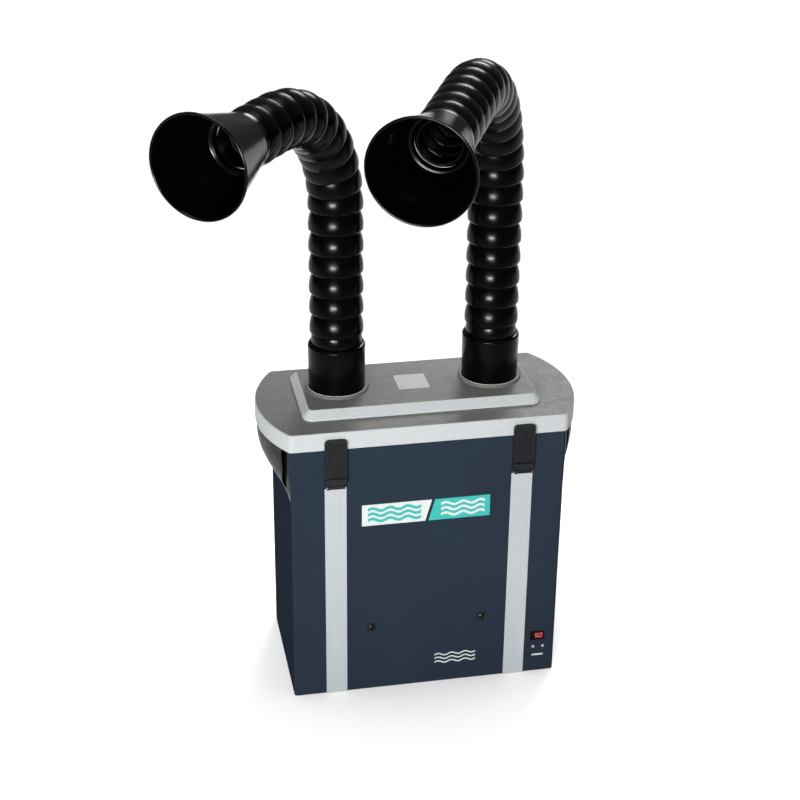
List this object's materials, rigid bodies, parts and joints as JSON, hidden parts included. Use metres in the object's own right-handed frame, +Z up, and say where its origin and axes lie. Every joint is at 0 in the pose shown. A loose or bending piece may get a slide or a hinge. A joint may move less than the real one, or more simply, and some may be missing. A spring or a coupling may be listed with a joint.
{
  "type": "solder fume extractor",
  "caption": "Bench solder fume extractor: a filter cabinet with a latched, hinged lid and two ball-jointed suction arms with cone hoods.",
  "frame": {"origin": "middle of the cabinet's flat underside", "axes": "+Z up, +Y to the rear, +X to the right seen from the front"},
  "size_m": [0.641, 0.5656, 1.0185],
  "materials": {
    "body_paint": "satin",
    "zinc_sheet": "satin",
    "lid_plastic": "satin",
    "foam": "matt",
    "black_gloss": "gloss",
    "black_plastic": "satin",
    "silver_strip": "satin",
    "steel": "satin",
    "filter_card": "matt",
    "filter_mat": "matt",
    "wheel_plastic": "satin",
    "board": "satin",
    "window": "gloss",
    "button_white": "satin"
  },
  "bodies": {
    "cabinet": {"cabinet": "body_paint", "base_plate": "zinc_sheet", "filter_shelf": "zinc_sheet", "left_handle": "black_plastic", "right_handle": "black_plastic", "front_strips": "silver_strip", "latch_brackets": "black_plastic", "hinge_lower_leaves": "steel", "hinge_pins": "steel", "front_screws": "steel", "main_filter": "filter_card", "pre_filter": "filter_mat", "blower_housing": "zinc_sheet", "motor": "steel", "power_supply": "steel", "control_board": "board", "display_window": "window", "digit_display": "window", "exhaust_grille": "black_plastic", "power_inlet": "black_plastic", "switch_housing": "black_plastic"},
    "lid": {"lid": "lid_plastic", "lid_gasket": "foam", "hinge_upper_leaves": "steel", "left_arm_socket": "lid_plastic", "right_arm_socket": "lid_plastic"},
    "left_cuff": {"left_arm_cuff": "black_gloss"},
    "left_foot": {"left_hose_foot": "black_gloss"},
    "left_column": {"left_hose_column": "black_gloss"},
    "left_hose_7": {"left_hose_7": "black_gloss"},
    "left_hose_8": {"left_hose_8": "black_gloss"},
    "left_hose_9": {"left_hose_9": "black_gloss"},
    "left_hose_10": {"left_hose_10": "black_gloss"},
    "left_hose_11": {"left_hose_11": "black_gloss"},
    "left_hose_12": {"left_hose_12": "black_gloss"},
    "left_hose_13": {"left_hose_13": "black_gloss"},
    "left_hose_14": {"left_hose_14": "black_gloss"},
    "left_hose_15": {"left_hose_15": "black_gloss"},
    "left_end": {"left_hose_end": "black_gloss"},
    "left_hood": {"left_hood": "black_gloss"},
    "left_latch": {"left_latch": "black_plastic"},
    "right_cuff": {"right_arm_cuff": "black_gloss"},
    "right_foot": {"right_hose_foot": "black_gloss"},
    "right_column": {"right_hose_column": "black_gloss"},
    "right_hose_8": {"right_hose_8": "black_gloss"},
    "right_hose_9": {"right_hose_9": "black_gloss"},
    "right_hose_10": {"right_hose_10": "black_gloss"},
    "right_hose_11": {"right_hose_11": "black_gloss"},
    "right_hose_12": {"right_hose_12": "black_gloss"},
    "right_hose_13": {"right_hose_13": "black_gloss"},
    "right_hose_14": {"right_hose_14": "black_gloss"},
    "right_hose_15": {"right_hose_15": "black_gloss"},
    "right_hose_16": {"right_hose_16": "black_gloss"},
    "right_end": {"right_hose_end": "black_gloss"},
    "right_hood": {"right_hood": "black_gloss"},
    "right_latch": {"right_latch": "black_plastic"},
    "up_button": {"up_button": "button_white"},
    "down_button": {"down_button": "button_white"},
    "switch_rocker": {"switch_rocker": "black_plastic"},
    "impeller": {"impeller": "wheel_plastic"}
  },
  "joints": [
    {"name": "lid_hinge", "type": "hinge", "parent": "cabinet", "child": "lid", "pos_m": [0, 0.12, 0.431], "axis": [-1, 0, 0], "range_deg": [0, 65]},
    {"name": "left_arm_swivel", "type": "hinge", "parent": "lid", "child": "left_cuff", "pos_m": [-0.1195, 0.012, 0.4765], "axis": [0, 0, 1], "range_deg": [-110, 8]},
    {"name": "left_lean_0", "type": "hinge", "parent": "left_cuff", "child": "left_foot", "pos_m": [-0.1195, 0.012, 0.554], "axis": [0.8049, -0.5934, 0], "range_deg": [-10, 10]},
    {"name": "left_lean_3", "type": "hinge", "parent": "left_foot", "child": "left_column", "pos_m": [-0.1195, 0.012, 0.6515], "axis": [0.8049, -0.5934, 0], "range_deg": [-10, 10]},
    {"name": "left_bend_6", "type": "hinge", "parent": "left_column", "child": "left_hose_7", "pos_m": [-0.1195, 0.012, 0.749], "axis": [0.8049, -0.5934, 0], "range_deg": [-1.7, 0.98]},
    {"name": "left_bend_7", "type": "hinge", "parent": "left_hose_7", "child": "left_hose_8", "pos_m": [-0.12001, 0.01132, 0.78149], "axis": [0.8049, -0.5934, 0], "range_deg": [-10.9, 5.77]},
    {"name": "left_bend_8", "type": "hinge", "parent": "left_hose_8", "child": "left_hose_9", "pos_m": [-0.12408, 0.00579, 0.81325], "axis": [0.8049, -0.5934, 0], "range_deg": [-11.05, 5.85]},
    {"name": "left_bend_9", "type": "hinge", "parent": "left_hose_9", "child": "left_hose_10", "pos_m": [-0.13163, -0.00445, 0.84316], "axis": [0.8049, -0.5934, 0], "range_deg": [-10.85, 5.65]},
    {"name": "left_bend_10", "type": "hinge", "parent": "left_hose_10", "child": "left_hose_11", "pos_m": [-0.14239, -0.01904, 0.87014], "axis": [0.8049, -0.5934, 0], "range_deg": [-11.05, 5.85]},
    {"name": "left_bend_11", "type": "hinge", "parent": "left_hose_11", "child": "left_hose_12", "pos_m": [-0.15597, -0.03746, 0.89322], "axis": [0.8049, -0.5934, 0], "range_deg": [-11.05, 5.85]},
    {"name": "left_bend_12", "type": "hinge", "parent": "left_hose_12", "child": "left_hose_13", "pos_m": [-0.17188, -0.05905, 0.91158], "axis": [0.8049, -0.5934, 0], "range_deg": [-11.05, 5.85]},
    {"name": "left_bend_13", "type": "hinge", "parent": "left_hose_13", "child": "left_hose_14", "pos_m": [-0.18956, -0.08303, 0.92456], "axis": [0.8049, -0.5934, 0], "range_deg": [-11.05, 5.85]},
    {"name": "left_bend_14", "type": "hinge", "parent": "left_hose_14", "child": "left_hose_15", "pos_m": [-0.20837, -0.10855, 0.93171], "axis": [0.8049, -0.5934, 0], "range_deg": [-11.05, 5.85]},
    {"name": "left_bend_15", "type": "hinge", "parent": "left_hose_15", "child": "left_end", "pos_m": [-0.22765, -0.13469, 0.93276], "axis": [0.8049, -0.5934, 0], "range_deg": [-3.7, 2.02]},
    {"name": "left_hood_tilt", "type": "hinge", "parent": "left_end", "child": "left_hood", "pos_m": [-0.26621, -0.18699, 0.93089], "axis": [0.8049, -0.5934, 0], "range_deg": [-14, 14]},
    {"name": "left_latch_hinge", "type": "hinge", "parent": "cabinet", "child": "left_latch", "pos_m": [-0.143, -0.121, 0.3715], "axis": [1, 0, 0], "range_deg": [0, 100]},
    {"name": "right_arm_swivel", "type": "hinge", "parent": "lid", "child": "right_cuff", "pos_m": [0.1195, 0.012, 0.4765], "axis": [0, 0, 1], "range_deg": [-8, 120]},
    {"name": "right_lean_0", "type": "hinge", "parent": "right_cuff", "child": "right_foot", "pos_m": [0.1195, 0.012, 0.554], "axis": [0.9003, -0.4352, 0], "range_deg": [-10, 10]},
    {"name": "right_lean_3", "type": "hinge", "parent": "right_foot", "child": "right_column", "pos_m": [0.1195, 0.012, 0.6515], "axis": [0.9003, -0.4352, 0], "range_deg": [-10, 10]},
    {"name": "right_bend_7", "type": "hinge", "parent": "right_column", "child": "right_hose_8", "pos_m": [0.1195, 0.012, 0.7815], "axis": [0.9003, -0.4352, 0], "range_deg": [-5.4, 3.62]},
    {"name": "right_bend_8", "type": "hinge", "parent": "right_hose_8", "child": "right_hose_9", "pos_m": [0.11822, 0.00935, 0.81387], "axis": [0.9003, -0.4352, 0], "range_deg": [-9.7, 6.45]},
    {"name": "right_bend_9", "type": "hinge", "parent": "right_hose_9", "child": "right_hose_10", "pos_m": [0.11463, 0.00192, 0.8453], "axis": [0.9003, -0.4352, 0], "range_deg": [-10.15, 6.75]},
    {"name": "right_bend_10", "type": "hinge", "parent": "right_hose_10", "child": "right_hose_11", "pos_m": [0.10873, -0.01028, 0.87484], "axis": [0.9003, -0.4352, 0], "range_deg": [-10.15, 6.75]},
    {"name": "right_bend_11", "type": "hinge", "parent": "right_hose_11", "child": "right_hose_12", "pos_m": [0.1007, -0.0269, 0.90159], "axis": [0.9003, -0.4352, 0], "range_deg": [-9.95, 6.55]},
    {"name": "right_bend_12", "type": "hinge", "parent": "right_hose_12", "child": "right_hose_13", "pos_m": [0.09077, -0.04742, 0.92475], "axis": [0.9003, -0.4352, 0], "range_deg": [-10.15, 6.75]},
    {"name": "right_bend_13", "type": "hinge", "parent": "right_hose_13", "child": "right_hose_14", "pos_m": [0.07926, -0.07124, 0.94363], "axis": [0.9003, -0.4352, 0], "range_deg": [-10.15, 6.75]},
    {"name": "right_bend_14", "type": "hinge", "parent": "right_hose_14", "child": "right_hose_15", "pos_m": [0.0665, -0.09764, 0.95764], "axis": [0.9003, -0.4352, 0], "range_deg": [-10.15, 6.75]},
    {"name": "right_bend_15", "type": "hinge", "parent": "right_hose_15", "child": "right_hose_16", "pos_m": [0.05287, -0.12583, 0.96638], "axis": [0.9003, -0.4352, 0], "range_deg": [-10.15, 6.75]},
    {"name": "right_bend_16", "type": "hinge", "parent": "right_hose_16", "child": "right_end", "pos_m": [0.0388, -0.15494, 0.96958], "axis": [0.9003, -0.4352, 0], "range_deg": [-10.15, 6.75]},
    {"name": "right_hood_tilt", "type": "hinge", "parent": "right_end", "child": "right_hood", "pos_m": [-0.03173, -0.30083, 0.9574], "axis": [0.9003, -0.4352, 0], "range_deg": [-14, 14]},
    {"name": "right_latch_hinge", "type": "hinge", "parent": "cabinet", "child": "right_latch", "pos_m": [0.143, -0.121, 0.3715], "axis": [1, 0, 0], "range_deg": [0, 100]},
    {"name": "up_button_press", "type": "slide", "parent": "cabinet", "child": "up_button", "axis": [0, 1, 0], "range_m": [0, 0.0015], "stiffness_N_per_m": 300, "springref_m": -0.0005},
    {"name": "down_button_press", "type": "slide", "parent": "cabinet", "child": "down_button", "axis": [0, 1, 0], "range_m": [0, 0.0015], "stiffness_N_per_m": 300, "springref_m": -0.0005},
    {"name": "switch_rock", "type": "hinge", "parent": "cabinet", "child": "switch_rocker", "pos_m": [0.15, 0.11, 0.104], "axis": [-1, 0, 0], "range_deg": [0, 20]},
    {"name": "impeller_spin", "type": "hinge", "parent": "cabinet", "child": "impeller", "pos_m": [-0.07, 0, 0.063], "axis": [0, 0, 1], "continuous": true}
  ],
  "couplings": [
    {"joint": "left_lean_3", "follows": "left_lean_0", "ratio": 1},
    {"joint": "left_bend_6", "follows": "left_bend_9", "ratio": 0.13825},
    {"joint": "left_bend_7", "follows": "left_bend_9", "ratio": 0.98618},
    {"joint": "left_bend_8", "follows": "left_bend_9", "ratio": 1},
    {"joint": "left_bend_10", "follows": "left_bend_9", "ratio": 1},
    {"joint": "left_bend_11", "follows": "left_bend_9", "ratio": 1},
    {"joint": "left_bend_12", "follows": "left_bend_9", "ratio": 1},
    {"joint": "left_bend_13", "follows": "left_bend_9", "ratio": 1},
    {"joint": "left_bend_14", "follows": "left_bend_9", "ratio": 1},
    {"joint": "left_bend_15", "follows": "left_bend_9", "ratio": 0.32258},
    {"joint": "right_lean_3", "follows": "right_lean_0", "ratio": 1},
    {"joint": "right_bend_7", "follows": "right_bend_11", "ratio": 0.52261},
    {"joint": "right_bend_8", "follows": "right_bend_11", "ratio": 0.95477},
    {"joint": "right_bend_9", "follows": "right_bend_11", "ratio": 1},
    {"joint": "right_bend_10", "follows": "right_bend_11", "ratio": 1},
    {"joint": "right_bend_12", "follows": "right_bend_11", "ratio": 1},
    {"joint": "right_bend_13", "follows": "right_bend_11", "ratio": 1},
    {"joint": "right_bend_14", "follows": "right_bend_11", "ratio": 1},
    {"joint": "right_bend_15", "follows": "right_bend_11", "ratio": 1},
    {"joint": "right_bend_16", "follows": "right_bend_11", "ratio": 1}
  ]
}
